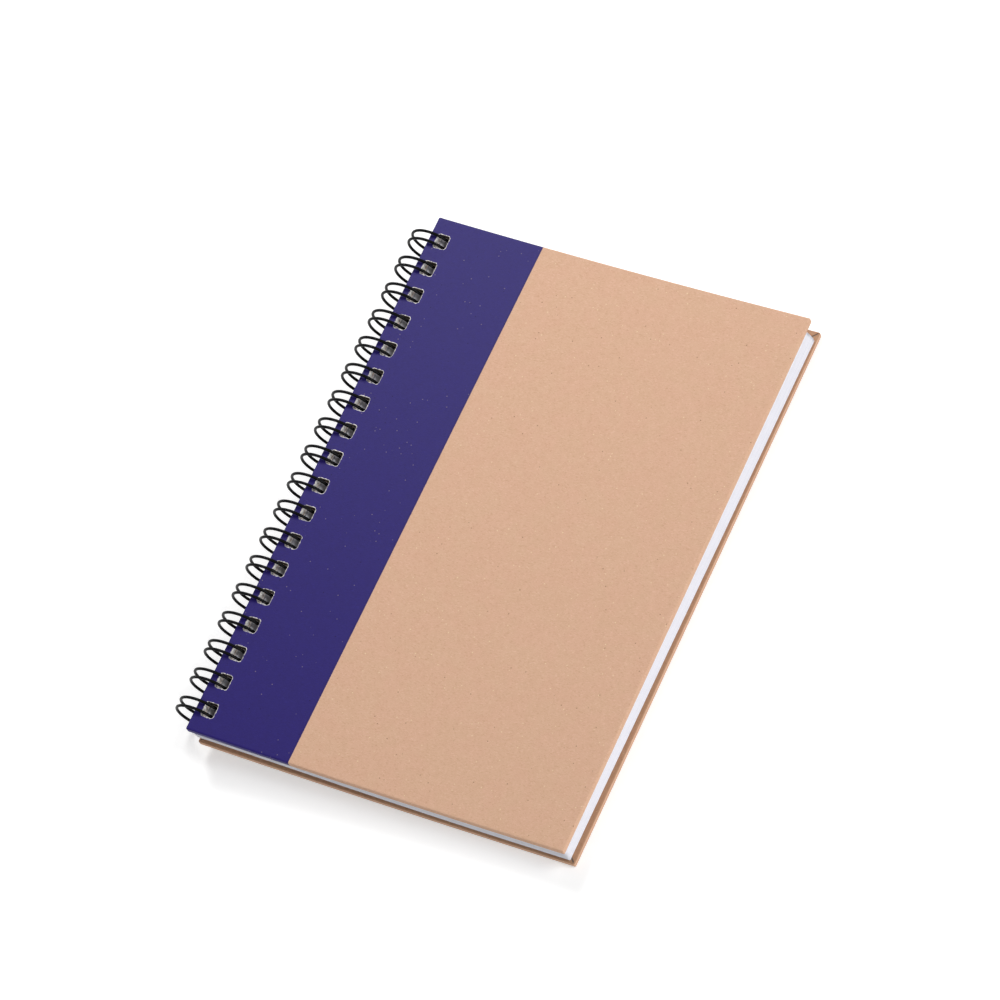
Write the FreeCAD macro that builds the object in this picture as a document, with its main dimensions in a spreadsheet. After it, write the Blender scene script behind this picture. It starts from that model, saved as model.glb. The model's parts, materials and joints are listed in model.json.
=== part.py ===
import FreeCAD, Part
import math
import os
import Sketcher

# Pocket notebook with hard covers, hung on a row of double wire loops.
# It is drawn in the frame of the loops: their common axis is the Y axis, X runs
# from the spine to the fore edge, and Z points out of the front cover.
# The last step lays it down on the loops and on the fore edge of the back cover.

vector = FreeCAD.Vector
os.makedirs("parts", exist_ok=True)
doc = FreeCAD.newDocument("wire_bound_notebook")

# Driving dimensions, in millimetres
driving_sizes = [
    ("cover_width", 110.0, "spine edge to fore edge of a cover"),
    ("cover_length", 157.5, "head to tail of a cover"),
    ("board_thickness", 1.5, "grey board inside a cover"),
    ("wrap_thickness", 0.2, "kraft paper glued round the board"),
    ("lining_thickness", 0.2, "paper glued on the inner face"),
    ("turn_in", 14.0, "width of the wrap's flaps on the inner face"),
    ("mitre_gap", 0.4, "slit between two flaps at a corner"),
    ("lining_margin", 3.0, "cover edge to lining edge"),
    ("lining_spine_margin", 0.9, "spine edge of a cover to lining edge"),
    ("page_setback", 1.3, "a sheet is this much narrower than a cover"),
    ("page_shortfall", 3.5, "a sheet is this much shorter than a cover"),
    ("page_shift", -1.1, "sheets lie this far towards the tail"),
    ("page_slide", -0.7, "sheets hang this far back from the middle of their holes"),
    ("page_stack", 4.7, "about fifty sheets"),
    ("swell_height", 1.3, "the lowest sheet is lifted this much where it passes over the seam wire"),
    ("swell_width", 5.5, "lifted part of the sheets, from their spine edge"),
    ("swell_ramp", 80.0, "length of the slope back to the flat stack"),
    ("loop_pitch", 8.467, "three loops to the inch"),
    ("loop_margin", 5.5, "least room from the last loop to the end of a cover"),
    ("loop_radius", 6.4, "axis to wire centre"),
    ("wire_diameter", 0.8, "lacquered steel wire"),
    ("leg_spacing", 2.5, "between the two wires of one loop"),
    ("bend_radius", 1.0, "where a leg turns into the seam wire"),
    ("tip_gap", 0.1, "closed tip to the line of the seam wire"),
    ("wire_tail", 5.3, "last loop to the cut end of the wire"),
    ("hole_across", 3.6, "punched hole, at right angles to the spine"),
    ("hole_along", 4.2, "punched hole, along the spine"),
    ("hole_corner", 0.45, "cut across each corner of a punched hole"),
    ("hole_margin", 2.1, "spine edge to hole"),
    ("spine_gap", 0.5, "loop axis to the spine edge of the front cover"),
    ("back_shift", 1.2, "back cover sits this far out from the front one"),
    ("front_height", 5.3, "loop axis to the outer face of the front cover"),
    ("seam_clearance", 0.1, "seam wire to the back cover and to the sheets"),
    ("leg_facets", 15, "flats round one leg"),
    ("tip_facets", 4, "flats round the closed tip"),
    ("bend_facets", 2, "flats round a seam bend"),
]

sheet = doc.addObject("Spreadsheet::Sheet", "sizes")
for row, (alias, size, meaning) in enumerate(driving_sizes, start=1):
    sheet.set(f"A{row}", meaning)
    sheet.set(f"B{row}", str(size))
    sheet.setAlias(f"B{row}", alias)
doc.recompute()

# Sizes that follow from the driving ones, as expressions on the sheet
cover_thickness = "(2 * sizes.wrap_thickness + sizes.board_thickness + sizes.lining_thickness)"
page_top = f"(sizes.front_height - {cover_thickness})"
page_bottom = f"({page_top} - sizes.page_stack)"
back_height = f"({page_bottom} - {cover_thickness})"
back_spine = "(sizes.spine_gap + sizes.back_shift)"
half_length = "(sizes.cover_length / 2)"
hole_centre = "(sizes.hole_margin + sizes.hole_across / 2)"
page_width = "(sizes.cover_width - sizes.page_setback)"
page_length = "(sizes.cover_length - sizes.page_shortfall)"
loop_count = "(floor((sizes.cover_length - 2 * sizes.loop_margin) / sizes.loop_pitch) + 1)"
first_loop = f"(-({loop_count} - 1) * sizes.loop_pitch / 2)"
pattern_length = f"({loop_count} - 1) * sizes.loop_pitch"


def number(expression):
    return float(sheet.evalExpression(str(expression)))


# Sketch helpers

def new_body(name):
    body = doc.addObject("PartDesign::Body", name)
    body.Label = name
    return body


def new_sketch(body, name, plane_role, offset="0"):
    sketch = body.newObject("Sketcher::SketchObject", name)
    plane = next(item for item in body.Origin.OriginFeatures if item.Role == plane_role)
    sketch.AttachmentSupport = [(plane, "")]
    sketch.MapMode = "FlatFace"
    sketch.setExpression("AttachmentOffset.Base.z", offset)
    return sketch


def bind(sketch, kind, members, expression):
    constraint = Sketcher.Constraint(kind, *members, number(expression))
    index = sketch.addConstraint(constraint)
    sketch.setExpression(f"Constraints[{index}]", expression)


def add_outline(sketch, corners):
    """Closed outline of straight lines through corners given as pairs of expressions"""
    points = [vector(number(x), number(y), 0) for x, y in corners]
    first = sketch.GeometryCount
    count = len(points)
    for index in range(count):
        sketch.addGeometry(Part.LineSegment(points[index], points[(index + 1) % count]))
    for index in range(count):
        following = first + (index + 1) % count
        sketch.addConstraint(Sketcher.Constraint("Coincident", first + index, 2, following, 1))
    for index, (x, y) in enumerate(corners):
        bind(sketch, "DistanceX", (-1, 1, first + index, 1), x)
        bind(sketch, "DistanceY", (-1, 1, first + index, 1), y)


def add_rectangle(sketch, left, right, bottom, top):
    add_outline(sketch, [(left, bottom), (right, bottom), (right, top), (left, top)])


def add_punched_hole(sketch, centre_x, centre_y):
    """One hole of the punch: a rectangle with its corners cut off"""
    left, right = f"{centre_x} - sizes.hole_across / 2", f"{centre_x} + sizes.hole_across / 2"
    bottom, top = f"{centre_y} - sizes.hole_along / 2", f"{centre_y} + sizes.hole_along / 2"
    cut = "sizes.hole_corner"
    add_outline(sketch, [(f"{left} + {cut}", bottom), (f"{right} - {cut}", bottom),
                         (right, f"{bottom} + {cut}"), (right, f"{top} - {cut}"),
                         (f"{right} - {cut}", top), (f"{left} + {cut}", top),
                         (left, f"{top} - {cut}"), (left, f"{bottom} + {cut}")])


def add_pad(body, sketch, name, length, downward=False):
    pad = body.newObject("PartDesign::Pad", name)
    pad.Profile = sketch
    pad.setExpression("Length", length)
    pad.Reversed = downward
    return pad


def cut_row(body, sketch, name, depth, upward=False):
    """Pocket for the first loop, repeated along the spine"""
    doc.recompute()
    solid_volume = body.Shape.Volume
    pocket = body.newObject("PartDesign::Pocket", name)
    pocket.Profile = sketch
    pocket.setExpression("Length", depth)
    pocket.Reversed = upward
    doc.recompute()
    if not body.Shape.Volume < solid_volume:
        raise ValueError(f"{name} cuts nothing")
    row = body.newObject("PartDesign::LinearPattern", f"{name}_row")
    row.Originals = [pocket]
    axis = next(item for item in body.Origin.OriginFeatures if item.Role == "Y_Axis")
    row.Direction = (axis, [""])
    row.setExpression("Length", pattern_length)
    row.setExpression("Occurrences", loop_count)
    body.Tip = row


# Covers: grey board, kraft wrap with mitred flaps, and inner lining

def make_cover(side, outer_face, spine_edge, inward):
    downward = inward < 0

    def layer(depth):
        return f"{outer_face} + ({inward}) * ({depth})"

    def in_from_edges(margin):
        return (f"{spine_edge} + {margin}", f"{spine_edge} + sizes.cover_width - {margin}",
                f"-{half_length} + {margin}", f"{half_length} - {margin}")

    hole_x = f"{spine_edge} + {hole_centre}"
    board_inside = "(sizes.wrap_thickness + sizes.board_thickness)"

    board = new_body(f"{side}_board")
    outline = new_sketch(board, f"{side}_board_outline", "XY_Plane", layer("sizes.wrap_thickness"))
    add_rectangle(outline, *in_from_edges("sizes.wrap_thickness"))
    add_pad(board, outline, f"{side}_board_sheet", "sizes.board_thickness", downward)
    punch = new_sketch(board, f"{side}_board_punch", "XY_Plane", layer("sizes.wrap_thickness"))
    add_punched_hole(punch, hole_x, first_loop)
    cut_row(board, punch, f"{side}_board_hole", "sizes.board_thickness", not downward)

    wrap = new_body(f"{side}_wrap")
    outline = new_sketch(wrap, f"{side}_wrap_outline", "XY_Plane", layer("0"))
    add_rectangle(outline, *in_from_edges("0"))
    add_pad(wrap, outline, f"{side}_wrap_face", "sizes.wrap_thickness", downward)
    edges = new_sketch(wrap, f"{side}_wrap_edges", "XY_Plane", layer("sizes.wrap_thickness"))
    add_rectangle(edges, *in_from_edges("0"))
    add_rectangle(edges, *in_from_edges("sizes.wrap_thickness"))
    add_pad(wrap, edges, f"{side}_wrap_sides", "sizes.board_thickness", downward)
    flaps = new_sketch(wrap, f"{side}_wrap_flaps", "XY_Plane", layer(board_inside))
    left, right, bottom, top = in_from_edges("0")
    inner_left, inner_right, inner_bottom, inner_top = in_from_edges("sizes.turn_in")
    gap = "sizes.mitre_gap / sqrt(2)"
    add_outline(flaps, [(left, f"{bottom} + {gap}"), (inner_left, f"{inner_bottom} + {gap}"),
                        (inner_left, f"{inner_top} - {gap}"), (left, f"{top} - {gap}")])
    add_outline(flaps, [(right, f"{bottom} + {gap}"), (right, f"{top} - {gap}"),
                        (inner_right, f"{inner_top} - {gap}"), (inner_right, f"{inner_bottom} + {gap}")])
    add_outline(flaps, [(f"{left} + {gap}", bottom), (f"{right} - {gap}", bottom),
                        (f"{inner_right} - {gap}", inner_bottom), (f"{inner_left} + {gap}", inner_bottom)])
    add_outline(flaps, [(f"{left} + {gap}", top), (f"{inner_left} + {gap}", inner_top),
                        (f"{inner_right} - {gap}", inner_top), (f"{right} - {gap}", top)])
    add_pad(wrap, flaps, f"{side}_wrap_turn_ins", "sizes.wrap_thickness", downward)
    punch = new_sketch(wrap, f"{side}_wrap_punch", "XY_Plane", layer("0"))
    add_punched_hole(punch, hole_x, first_loop)
    wrap_depth = f"{board_inside} + sizes.wrap_thickness"
    cut_row(wrap, punch, f"{side}_wrap_hole", wrap_depth, not downward)

    lining = new_body(f"{side}_lining")
    window = new_sketch(lining, f"{side}_lining_window", "XY_Plane", layer(board_inside))
    add_rectangle(window, *in_from_edges("sizes.turn_in"))
    add_pad(lining, window, f"{side}_lining_middle", "sizes.wrap_thickness", downward)
    outline = new_sketch(lining, f"{side}_lining_outline", "XY_Plane", layer(wrap_depth))
    _, right, bottom, top = in_from_edges("sizes.lining_margin")
    add_rectangle(outline, f"{spine_edge} + sizes.lining_spine_margin", right, bottom, top)
    add_pad(lining, outline, f"{side}_lining_sheet", "sizes.lining_thickness", downward)
    punch = new_sketch(lining, f"{side}_lining_punch", "XY_Plane", layer(wrap_depth))
    add_punched_hole(punch, hole_x, first_loop)
    cut_row(lining, punch, f"{side}_lining_hole", "sizes.lining_thickness", not downward)
    return [board, wrap, lining]


# Page block: the sheets hang on the loops, so their edges and holes follow the loops' curve,
# and the lowest sheets swell over the seam wire that lies between them and the back cover

def add_loop_arc(sketch, shift, low, high):
    """Arc of the loops' radius round a point shifted along X, between two heights"""
    middle = vector(number(shift), 0, 0)
    radius = number("sizes.loop_radius")
    circle = Part.Circle(middle, vector(0, 0, 1), radius)
    start = math.asin(number(low) / radius)
    end = math.asin(number(high) / radius)
    index = sketch.addGeometry(Part.ArcOfCircle(circle, start, end))
    bind(sketch, "DistanceX", (-1, 1, index, 3), shift)
    sketch.addConstraint(Sketcher.Constraint("PointOnObject", index, 3, -1))
    bind(sketch, "Radius", (index,), "sizes.loop_radius")
    bind(sketch, "DistanceY", (-1, 1, index, 1), low)
    bind(sketch, "DistanceY", (-1, 1, index, 2), high)
    return index


def point_at(sketch, index, position):
    place = sketch.getPoint(index, position)
    return vector(place.x, place.y, 0)


def join(sketch, first, first_end, second, second_end):
    sketch.addConstraint(Sketcher.Constraint("Coincident", first, first_end, second, second_end))


def make_page_block():
    pages = new_body("page_block")
    profile = new_sketch(pages, "page_profile", "XZ_Plane",
                         f"-{page_length} / 2 - sizes.page_shift")
    spine_shift = f"sizes.page_slide - {hole_centre}"
    lifted = f"{page_bottom} + sizes.swell_height"
    spine = add_loop_arc(profile, spine_shift, lifted, page_top)
    fore = add_loop_arc(profile, f"{spine_shift} + {page_width}", page_bottom, page_top)

    # The slope is two equal arcs, tangent to each other and to the flats beside them
    ramp = number("sizes.swell_ramp")
    lift = number("sizes.swell_height")
    slope_radius = (ramp ** 2 + lift ** 2) / (4 * lift)
    slope_angle = 2 * math.atan2(lift, ramp)
    swell_end = point_at(profile, spine, 1) + vector(number("sizes.swell_width"), 0, 0)
    ramp_end = swell_end + vector(ramp, -lift, 0)
    upper = Part.Circle(swell_end - vector(0, slope_radius, 0), vector(0, 0, 1), slope_radius)
    lower = Part.Circle(ramp_end + vector(0, slope_radius, 0), vector(0, 0, 1), slope_radius)
    quarter = math.pi / 2
    top_line = profile.addGeometry(Part.LineSegment(point_at(profile, spine, 2), point_at(profile, fore, 2)))
    bottom_line = profile.addGeometry(Part.LineSegment(point_at(profile, fore, 1), ramp_end))
    swell_line = profile.addGeometry(Part.LineSegment(swell_end, point_at(profile, spine, 1)))
    upper_arc = profile.addGeometry(Part.ArcOfCircle(upper, quarter - slope_angle, quarter))
    lower_arc = profile.addGeometry(Part.ArcOfCircle(lower, -quarter - slope_angle, -quarter))
    join(profile, top_line, 1, spine, 2)
    join(profile, top_line, 2, fore, 2)
    join(profile, bottom_line, 1, fore, 1)
    join(profile, swell_line, 2, spine, 1)
    profile.addConstraint(Sketcher.Constraint("Horizontal", bottom_line))
    profile.addConstraint(Sketcher.Constraint("Tangent", bottom_line, 2, lower_arc, 2))
    profile.addConstraint(Sketcher.Constraint("Tangent", lower_arc, 1, upper_arc, 1))
    profile.addConstraint(Sketcher.Constraint("Tangent", upper_arc, 2, swell_line, 1))
    profile.addConstraint(Sketcher.Constraint("Equal", upper_arc, lower_arc))
    bind(profile, "DistanceX", (swell_line, 2, swell_line, 1), "sizes.swell_width")
    bind(profile, "DistanceX", (swell_line, 1, bottom_line, 2), "sizes.swell_ramp")
    add_pad(pages, profile, "page_sheets", page_length)

    # Each sheet's hole sits where the wire passes, so the row of holes is a curved shaft
    shaft = new_sketch(pages, "page_punch", "XZ_Plane", f"-{first_loop} + sizes.hole_along / 2")
    low = f"{page_bottom} - sizes.seam_clearance"
    high = f"{page_top} + sizes.seam_clearance"
    near = add_loop_arc(shaft, "sizes.page_slide - sizes.hole_across / 2", low, high)
    far = add_loop_arc(shaft, "sizes.page_slide + sizes.hole_across / 2", low, high)
    for end in (1, 2):
        start_point = point_at(shaft, near, end)
        line = shaft.addGeometry(Part.LineSegment(start_point, point_at(shaft, far, end)))
        join(shaft, line, 1, near, end)
        join(shaft, line, 2, far, end)
    cut_row(pages, shaft, "page_hole", "sizes.hole_along")
    return pages


# Wire: one length bent into hairpin legs, joined at their feet by short runs along the seam

def make_wire():
    radius = number("sizes.loop_radius")
    half_leg = number("sizes.leg_spacing / 2")
    bend = number("sizes.bend_radius")
    pitch = number("sizes.loop_pitch")
    tip_gap = number("sizes.tip_gap")
    wire_radius = number("sizes.wire_diameter / 2")
    leg_facets = int(number("sizes.leg_facets"))
    tip_facets = int(number("sizes.tip_facets"))
    bend_facets = int(number("sizes.bend_facets"))
    loops = round(number(loop_count))

    # The seam wire lies just above the back cover, on the flat that is tangent to the loop
    seam_height = number(f"{page_bottom} + sizes.seam_clearance + sizes.wire_diameter / 2")
    seam_reach = math.hypot(radius, bend)
    seam_angle = math.asin(seam_height / seam_reach)
    foot_angle = seam_angle - math.atan2(bend, radius)
    tip_angle = seam_angle + (half_leg + tip_gap) / radius - 2 * math.pi

    def on_tangent(angle, along, side):
        """Point on the plane tangent to the loop at an angle, along it and sideways along Y"""
        return vector(radius * math.cos(angle) - along * math.sin(angle), side,
                      radius * math.sin(angle) + along * math.cos(angle))

    # Half a loop, from the seam wire up to the middle of its closed tip
    points = []
    for step in range(bend_facets + 1):
        turn = math.pi / 2 * (1 - step / bend_facets)
        side = -half_leg - bend + bend * math.cos(turn)
        points.append(on_tangent(foot_angle, bend * math.sin(turn), side))
    facet_angle = (tip_angle - foot_angle) / leg_facets
    facet_radius = radius * 2 / (1 + math.cos(facet_angle / 2))
    for step in range(1, leg_facets):
        angle = foot_angle + facet_angle * step
        points.append(vector(facet_radius * math.cos(angle), -half_leg, facet_radius * math.sin(angle)))
    half_tip = tip_facets // 2
    for step in range(half_tip + 1):
        turn = math.pi / 2 * step / half_tip
        along = -half_leg * math.sin(turn)
        points.append(on_tangent(tip_angle, along, -half_leg * math.cos(turn)))

    # Six-sided section of the wire's own area, carried along the points and mitred at each
    corner_radius = wire_radius * math.sqrt(2 * math.pi / (3 * math.sqrt(3)))
    seam = points[0]
    section = []
    for corner in range(6):
        angle = seam_angle + math.pi / 3 * corner
        offset = vector(corner_radius * math.cos(angle), 0, corner_radius * math.sin(angle))
        section.append(seam + offset)
    sections = []
    heading = vector(0, 1, 0)
    for index, point in enumerate(points):
        if index + 1 < len(points):
            leaving = (points[index + 1] - point).normalize()
        else:
            leaving = vector(0, 1, 0)
        mitre = (heading + leaving).normalize()
        if index + 1 == len(points):
            mitre = vector(0, 1, 0)
        moved = []
        for corner in section:
            reach = (point - corner).dot(mitre) / heading.dot(mitre)
            moved.append(corner + heading * reach)
        section = moved
        sections.append(section)
        heading = leaving

    # The other half is its mirror image, and the loops follow each other along the spine
    mirrored = [[vector(p.x, -p.y, p.z) for p in ring] for ring in reversed(sections[:-1])]
    one_loop = sections + mirrored
    rings = []
    for index in range(loops):
        shift = vector(0, (index - (loops - 1) / 2) * pitch, 0)
        rings.extend([[corner + shift for corner in ring] for ring in one_loop])
    tail = number("sizes.wire_tail") - half_leg - bend
    first_end = [corner - vector(0, tail, 0) for corner in rings[0]]
    last_end = [corner + vector(0, tail, 0) for corner in rings[-1]]
    rings = [first_end] + rings + [last_end]

    faces = [Part.Face(Part.makePolygon(end + [end[0]])) for end in (first_end, last_end)]
    for ring, following in zip(rings, rings[1:]):
        for corner in range(6):
            beside = (corner + 1) % 6
            edge_loop = [ring[corner], ring[beside], following[beside], following[corner], ring[corner]]
            faces.append(Part.Face(Part.makePolygon(edge_loop)))
    solid = Part.Solid(Part.makeShell(faces))
    if solid.Volume < 0:
        solid.reverse()
    wire = doc.addObject("Part::Feature", "twin_loop_wire")
    wire.Label = "twin_loop_wire"
    wire.Shape = solid
    return wire


pieces = make_cover("front", "sizes.front_height", "sizes.spine_gap", -1)
pieces += make_cover("back", back_height, back_spine, 1)
pieces.append(make_page_block())
pieces.append(make_wire())
doc.recompute()

# Lying down: turned about the loops' axis until the fore edge of the back cover touches too
outer_radius = number("sizes.loop_radius + sizes.wire_diameter / 2")
edge_x = number(f"{back_spine} + sizes.cover_width")
edge_drop = -number(back_height)
tilt = math.asin(outer_radius / math.hypot(edge_x, edge_drop)) - math.atan2(edge_drop, edge_x)
turned = FreeCAD.Rotation(vector(0, 1, 0), math.degrees(tilt))
for piece in pieces:
    piece.Placement = FreeCAD.Placement(vector(0, 0, 0), turned)
whole = FreeCAD.BoundBox()
for piece in pieces:
    whole.add(piece.Shape.optimalBoundingBox(False))
move = vector(-(whole.XMin + whole.XMax) / 2, 0, -whole.ZMin)
for piece in pieces:
    piece.Placement = FreeCAD.Placement(move, turned)
doc.recompute()

for item in doc.Objects:
    if "Invalid" in item.State or "Error" in item.State:
        raise ValueError(f"{item.Label} failed: {item.State}")
for piece in pieces:
    if piece.Shape.isNull() or not piece.Shape.isValid():
        raise ValueError(f"{piece.Label} has no valid shape")
for piece in pieces:
    piece.Shape.exportStep(f"parts/{piece.Label}.step")
    print(piece.Label, "volume", round(piece.Shape.Volume, 1), "solids", len(piece.Shape.Solids))
print("loop axis at", round(move.x, 4), round(move.z, 4), "tilt", round(math.degrees(tilt), 4))
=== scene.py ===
import json
import math

import bpy
import numpy as np
from mathutils import Matrix, Vector


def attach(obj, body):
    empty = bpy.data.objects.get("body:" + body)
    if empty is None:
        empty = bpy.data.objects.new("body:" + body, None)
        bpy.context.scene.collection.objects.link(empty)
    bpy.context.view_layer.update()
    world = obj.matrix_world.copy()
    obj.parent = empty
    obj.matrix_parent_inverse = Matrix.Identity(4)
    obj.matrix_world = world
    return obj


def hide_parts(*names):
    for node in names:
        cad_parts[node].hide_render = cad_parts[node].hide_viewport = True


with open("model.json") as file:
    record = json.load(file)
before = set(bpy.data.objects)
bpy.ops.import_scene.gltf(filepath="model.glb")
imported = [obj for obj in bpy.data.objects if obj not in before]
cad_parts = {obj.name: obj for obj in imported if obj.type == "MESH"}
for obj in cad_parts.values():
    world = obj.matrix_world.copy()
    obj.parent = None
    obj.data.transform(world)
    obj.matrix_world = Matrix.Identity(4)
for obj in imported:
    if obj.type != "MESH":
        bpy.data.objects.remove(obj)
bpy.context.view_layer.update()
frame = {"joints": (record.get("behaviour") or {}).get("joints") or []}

axisPlace = np.array(frame["joints"][0]["pos_m"])
metre = 1000.0     # millimetres in one
# the notebook rests on the outside of the loops and on the back cover's fore edge
restingOn = {"loopRadius": 6.8, "edgeAcross": 111.7, "edgeDrop": 3.6}
edgeReach = math.hypot(restingOn["edgeAcross"], restingOn["edgeDrop"])
tilt = (math.asin(restingOn["loopRadius"] / edgeReach)
        - math.atan2(restingOn["edgeDrop"], restingOn["edgeAcross"]))
cosTilt, sinTilt = math.cos(tilt), math.sin(tilt)

binding = {
    "loops": 18, "pitch": 8.467, "radius": 6.4,
    "stackLow": -1.5, "stackTop": 3.2,      # heights of the lowest and the top sheet
    "dishFront": 1.15,      # how far the middle of the front cover has sunk
    "dishBack": 0.85,
    "dishMiddle": 56.1, "dishHalf": 55.6,
}
hole = {
    "across": 3.6, "along": 4.2, "corner": 0.75, "margin": 2.1, "cellNear": 0.9, "cellFar": 6.9,
    "collar": 0.3,          # width of the fine ring of faces round each hole
    "far": 10.0,            # distance that materials read where there are no more holes
}
cellSteps = 8      # steps along each side of the ring that is laid round a hole
sameLine = 0.01    # grid lines closer than this are one
loopPlaces = (np.arange(binding["loops"]) - (binding["loops"] - 1) / 2) * binding["pitch"]


def toFrame(points):
    # turned by the tilt about the y axis, scaled to metres and moved to the hinge's place
    x, y, z = points[:, 0], points[:, 1], points[:, 2]
    turned = np.stack([x * cosTilt + z * sinTilt, y, z * cosTilt - x * sinTilt], 1)
    return turned / metre + axisPlace


def sink(points):
    # the covers and pages have warped: a parabola over the width, lowest in the middle,
    # deeper at the front cover than at the back one
    stack = binding["stackTop"] - binding["stackLow"]
    share = np.clip((points[:, 2] - binding["stackLow"]) / stack, 0, 1)
    depth = binding["dishBack"] + share * (binding["dishFront"] - binding["dishBack"])
    reach = (points[:, 0] - binding["dishMiddle"]) / binding["dishHalf"]
    sunk = points.copy()
    sunk[:, 2] -= depth * np.clip(1 - reach ** 2, 0, None)
    return sunk


def addObject(name, points, quads, body, node):
    # equal points are welded and a quad that lost corners becomes a triangle or goes
    keys = np.round(points * 1e4).astype(np.int64)
    found, first, index = np.unique(keys, axis=0, return_index=True, return_inverse=True)
    corners = index.reshape(-1)[quads]
    doubled = corners == np.roll(corners, 1, axis=1)
    sizes = 4 - doubled.sum(1)
    good = sizes > 2
    loopCorners = corners[good][~doubled[good]]
    sizes = sizes[good]
    mesh = bpy.data.meshes.new(name)
    mesh.vertices.add(len(found))
    mesh.vertices.foreach_set("co", toFrame(points[first]).astype(np.float32).ravel())
    mesh.loops.add(len(loopCorners))
    mesh.loops.foreach_set("vertex_index", loopCorners.astype(np.int32))
    mesh.polygons.add(len(sizes))
    mesh.polygons.foreach_set("loop_start", (np.cumsum(sizes) - sizes).astype(np.int32))
    mesh.update(calc_edges=True)
    piece = bpy.data.objects.new(name, mesh)
    bpy.context.scene.collection.objects.link(piece)
    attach(piece, body)
    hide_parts(node)
    return piece, first


def stackPatches(patches):
    # several (points, quads) pairs as one, each one's corners counted on from the last
    starts = np.cumsum([0] + [len(points) for points, _ in patches])
    points = np.concatenate([points for points, _ in patches])
    quads = np.concatenate([quads + start for (_, quads), start in zip(patches, starts)])
    return points, quads


def gridQuads(rows, columns, closed=False):
    # corners of a rows by columns grid of points, the row's step first and then the column's
    steps = columns if closed else columns - 1
    row, column = np.meshgrid(np.arange(rows - 1), np.arange(steps), indexing="ij")
    here, beyond = row * columns, (row + 1) * columns
    after = (column + 1) % columns
    return np.stack([here + column, beyond + column, beyond + after, here + after], -1).reshape(-1, 4)


def finishMesh(piece, sharpAngle):
    # live modifiers become the mesh, and edges sharper than the angle stay sharp
    bpy.context.view_layer.update()
    evaluated = piece.evaluated_get(bpy.context.evaluated_depsgraph_get())
    mesh = bpy.data.meshes.new_from_object(evaluated)
    piece.modifiers.clear()
    piece.data = mesh
    mesh.polygons.foreach_set("use_smooth", np.ones(len(mesh.polygons), bool))
    mesh.set_sharp_from_angle(angle=math.radians(sharpAngle))


# Outline of one punched hole round its centre: quarter arcs joined by straights, as many points as
# its cell's outline has, starting in the middle of the corner nearest to the spine and the tail
def holeOutline():
    halves = np.array([hole["across"], hole["along"]]) / 2 - hole["corner"]
    signs = np.array([(-1, -1), (1, -1), (1, 1), (-1, 1)])

    def arc(corner, degrees):
        turn = np.radians(degrees)
        return signs[corner % 4] * halves + hole["corner"] * np.stack([np.cos(turn), np.sin(turn)], 1)

    sides = []
    for side in range(4):
        leaving = arc(side, 225 + 90 * side + 15 * np.arange(4))
        coming = arc(side + 1, 270 + 90 * side + 15 * np.arange(3))
        sides += [leaving, (leaving[-1:] + coming[:1]) / 2, coming]
    return np.concatenate(sides)


def alongLines(low, high, extra=()):
    # lines across the spine: even steps in each loop's cell, then what is left to the ends
    bounds = (np.arange(binding["loops"] + 1) - binding["loops"] / 2) * binding["pitch"]
    bounds[0], bounds[-1] = max(bounds[0], low), min(bounds[-1], high)
    steps = np.arange(cellSteps) / cellSteps
    inner = (bounds[:-1, None] + (bounds[1:] - bounds[:-1])[:, None] * steps).ravel()
    tail = [value for value in sorted({low, *extra}) if value < bounds[0] - sameLine]
    head = [value for value in sorted({high, *extra}) if value > bounds[-1] + sameLine]
    return np.concatenate([tail, inner, bounds[-1:], head]), len(tail)


def punchedGrid(across, along, firstCell):
    # flat grid over the lines, facing up, with a ring of quads round each hole; each ring runs
    # from its cell's outline to a collar just outside the hole and then to the hole's own edge
    columnStart = int(np.argmin(abs(across - hole["cellNear"])))
    rows, columns = len(across), len(along)
    u, y = np.meshgrid(across, along, indexing="ij")
    gridPoints = np.stack([u.ravel(), y.ravel()], 1)
    quads = gridQuads(rows, columns)
    row, column = quads[:, 0] // columns, quads[:, 0] % columns
    inColumn = (row >= columnStart) & (row < columnStart + cellSteps)
    inCells = (column >= firstCell) & (column < firstCell + cellSteps * binding["loops"])
    quads = quads[~(inColumn & inCells)]
    step = np.arange(cellSteps)
    start, end = np.zeros(cellSteps, int), np.full(cellSteps, cellSteps)
    aroundRow = np.concatenate([step, end, cellSteps - step, start])
    aroundColumn = np.concatenate([start, step, end, cellSteps - step])
    cellStart = firstCell + cellSteps * np.arange(binding["loops"])
    cell = (columnStart + aroundRow)[None] * columns + cellStart[:, None] + aroundColumn[None]
    outline = holeOutline()
    centre = np.stack([np.full(binding["loops"], hole["margin"] + hole["across"] / 2), loopPlaces], 1)
    edge = centre[:, None] + outline[None]
    collar = edge + outline[None] / np.linalg.norm(outline, axis=1)[None, :, None] * hole["collar"]
    count = 4 * cellSteps
    edgeIndex = len(gridPoints) + np.arange(binding["loops"] * count).reshape(-1, count)
    collarIndex = edgeIndex + binding["loops"] * count
    rings = [quads]
    for outside, inside in ((cell, collarIndex), (collarIndex, edgeIndex)):
        ring = [outside, np.roll(outside, -1, 1), np.roll(inside, -1, 1), inside]
        rings.append(np.stack(ring, -1).reshape(-1, 4))
    points = np.concatenate([gridPoints, edge.reshape(-1, 2), collar.reshape(-1, 2)])
    return points, np.concatenate(rings), edgeIndex


def holeBands(flat, holeEdge, levels):
    # walls of the holes: each hole's outline repeated at the levels. Gives the flat places, the
    # level at each and the quads
    count = 4 * cellSteps
    edges = flat[holeEdge.ravel()].reshape(-1, 1, count, 2)
    edges = np.broadcast_to(edges, (len(edges), len(levels), count, 2))
    level = np.broadcast_to(np.reshape(levels, (1, -1, 1)), edges.shape[:3])
    starts = np.arange(len(edges)) * len(levels) * count
    quads = gridQuads(len(levels), count, closed=True)[None] + starts[:, None, None]
    return edges.reshape(-1, 2), level.ravel(), quads.reshape(-1, 4)


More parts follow.
